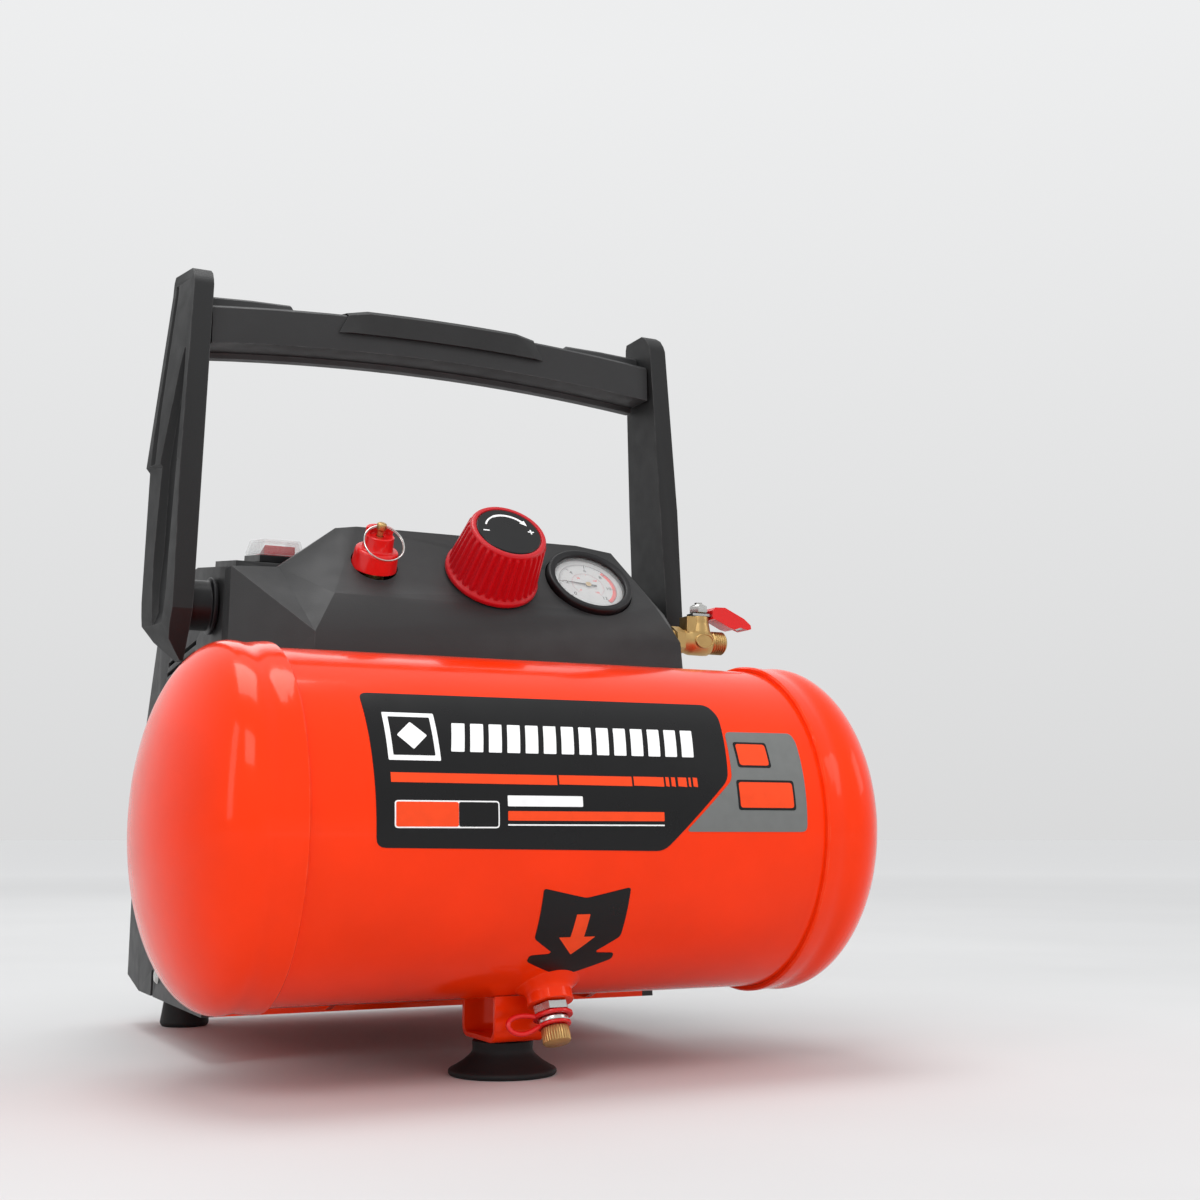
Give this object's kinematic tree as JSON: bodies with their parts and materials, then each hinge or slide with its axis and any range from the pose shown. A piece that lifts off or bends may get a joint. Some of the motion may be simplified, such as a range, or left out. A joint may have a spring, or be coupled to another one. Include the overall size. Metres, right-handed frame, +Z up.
{
  "type": "air compressor",
  "caption": "Portable oil-free air compressor: horizontal tank on feet in front of a motor casing with a folding carry handle, regulator, gauge, safety valve and outlet tap.",
  "frame": {"origin": "on the floor, under the middle of the object's bounding box", "axes": "+X to the right along the tank, +Y to the rear, from the tank to the motor casing, +Z up"},
  "size_m": [0.355, 0.3702, 0.4045],
  "materials": {
    "orange_enamel": "gloss orange-red powder coat",
    "grey_plastic": "fine-grained charcoal moulding",
    "black_plastic": "satin black",
    "black_rubber": "matt",
    "red_plastic": "semi-gloss red",
    "clear_silicone": "clear, soft",
    "clear_lens": "clear",
    "white_dial": "white print",
    "brass": "machined",
    "plated_steel": "zinc or nickel plated",
    "cast_aluminium": "as cast",
    "copper": "drawn copper tube",
    "motor_steel": "laminated steel"
  },
  "bodies": {
    "compressor": {"tank_shell": "orange_enamel", "tank_head_left": "orange_enamel", "tank_head_right": "orange_enamel", "foot_bracket": "orange_enamel", "base_plate": "orange_enamel", "housing_shell": "grey_plastic", "rear_cover": "grey_plastic", "handle_pivot_left": "black_plastic", "handle_pivot_right": "black_plastic", "cord_gland": "black_plastic", "switch_bezel": "black_plastic", "gauge_case": "black_plastic", "gauge_bezel": "black_plastic", "pressure_switch": "black_plastic", "front_foot": "black_rubber", "rear_foot_left": "black_rubber", "rear_foot_right": "black_rubber", "motor_cradle": "black_rubber", "drain_strap": "red_plastic", "relief_cap": "red_plastic", "switch_cover": "clear_silicone", "gauge_lens": "clear_lens", "gauge_dial": "white_dial", "relief_body": "brass", "ball_valve_body": "brass", "check_valve": "brass", "drain_nipple": "plated_steel", "cover_screw_left": "plated_steel", "cover_screw_right": "plated_steel", "side_screw_left": "plated_steel", "side_screw_right": "plated_steel", "shaft_bearing_left": "plated_steel", "shaft_bearing_right": "plated_steel", "regulator_body": "cast_aluminium", "manifold_block": "cast_aluminium", "motor_end_bell": "cast_aluminium", "crankcase": "cast_aluminium", "pump_cylinder": "cast_aluminium", "cylinder_head": "cast_aluminium", "discharge_tube": "copper", "motor_stator": "motor_steel"},
    "handle": {"handle_upright_left": "grey_plastic", "handle_upright_right": "grey_plastic", "handle_crossbar": "grey_plastic", "grip_pad": "black_rubber"},
    "rocker": {"switch_rocker": "red_plastic"},
    "relief_stem": {"relief_stem": "brass"},
    "pull_ring": {"pull_ring": "plated_steel"},
    "regulator_knob": {"regulator_knob": "red_plastic", "knob_disc": "black_plastic"},
    "gauge_needle": {"gauge_needle": "black_plastic"},
    "outlet_lever": {"valve_lever": "plated_steel", "lever_sleeve": "red_plastic", "lever_nut": "plated_steel", "valve_ball": "plated_steel"},
    "drain_cap": {"drain_cap": "brass"},
    "shaft": {"motor_rotor": "motor_steel", "cooling_fan": "black_plastic", "crank_disc": "plated_steel"},
    "piston": {"piston_rod": "cast_aluminium"}
  },
  "joints": [
    {"name": "handle_fold", "type": "hinge", "parent": "compressor", "child": "handle", "pos_m": [0, 0.01015, 0.2265], "axis": [-1, 0, 0], "range_deg": [0, 68]},
    {"name": "switch_rock", "type": "hinge", "parent": "compressor", "child": "rocker", "pos_m": [-0.0857, 0.02515, 0.25328], "axis": [1, 0, 0], "range_deg": [0, 13]},
    {"name": "relief_pull", "type": "slide", "parent": "compressor", "child": "relief_stem", "axis": [0, -0.515, 0.8572], "range_m": [0, 0.003], "stiffness_N_per_m": 1000, "springref_m": -0.003},
    {"name": "ring_swing", "type": "hinge", "parent": "relief_stem", "child": "pull_ring", "pos_m": [-0.0483, -0.0417, 0.2658], "axis": [-1, 0, 0], "range_deg": [0, 75]},
    {"name": "regulator_turn", "type": "hinge", "parent": "compressor", "child": "regulator_knob", "pos_m": [0.0153, -0.03385, 0.2453], "axis": [0, -0.766, 0.6428], "range_deg": [-540, 540]},
    {"name": "gauge_sweep", "type": "hinge", "parent": "compressor", "child": "gauge_needle", "pos_m": [0.0732, -0.03385, 0.2453], "axis": [0, 0.766, -0.6428], "range_deg": [-45, 225]},
    {"name": "outlet_turn", "type": "hinge", "parent": "compressor", "child": "outlet_lever", "pos_m": [0.1388, -0.03985, 0.2162], "axis": [0, 0, -1], "range_deg": [0, 90]},
    {"name": "drain_cap_turn", "type": "hinge", "parent": "compressor", "child": "drain_cap", "pos_m": [0.0023, -0.14532, 0.023], "axis": [0, -0.4147, -0.91], "range_deg": [0, 720]},
    {"name": "shaft_spin", "type": "hinge", "parent": "compressor", "child": "shaft", "pos_m": [0, 0.08115, 0.089], "axis": [1, 0, 0], "continuous": true},
    {"name": "piston_slide", "type": "slide", "parent": "compressor", "child": "piston", "axis": [0, 0, 1], "range_m": [-0.02, 0]}
  ]
}
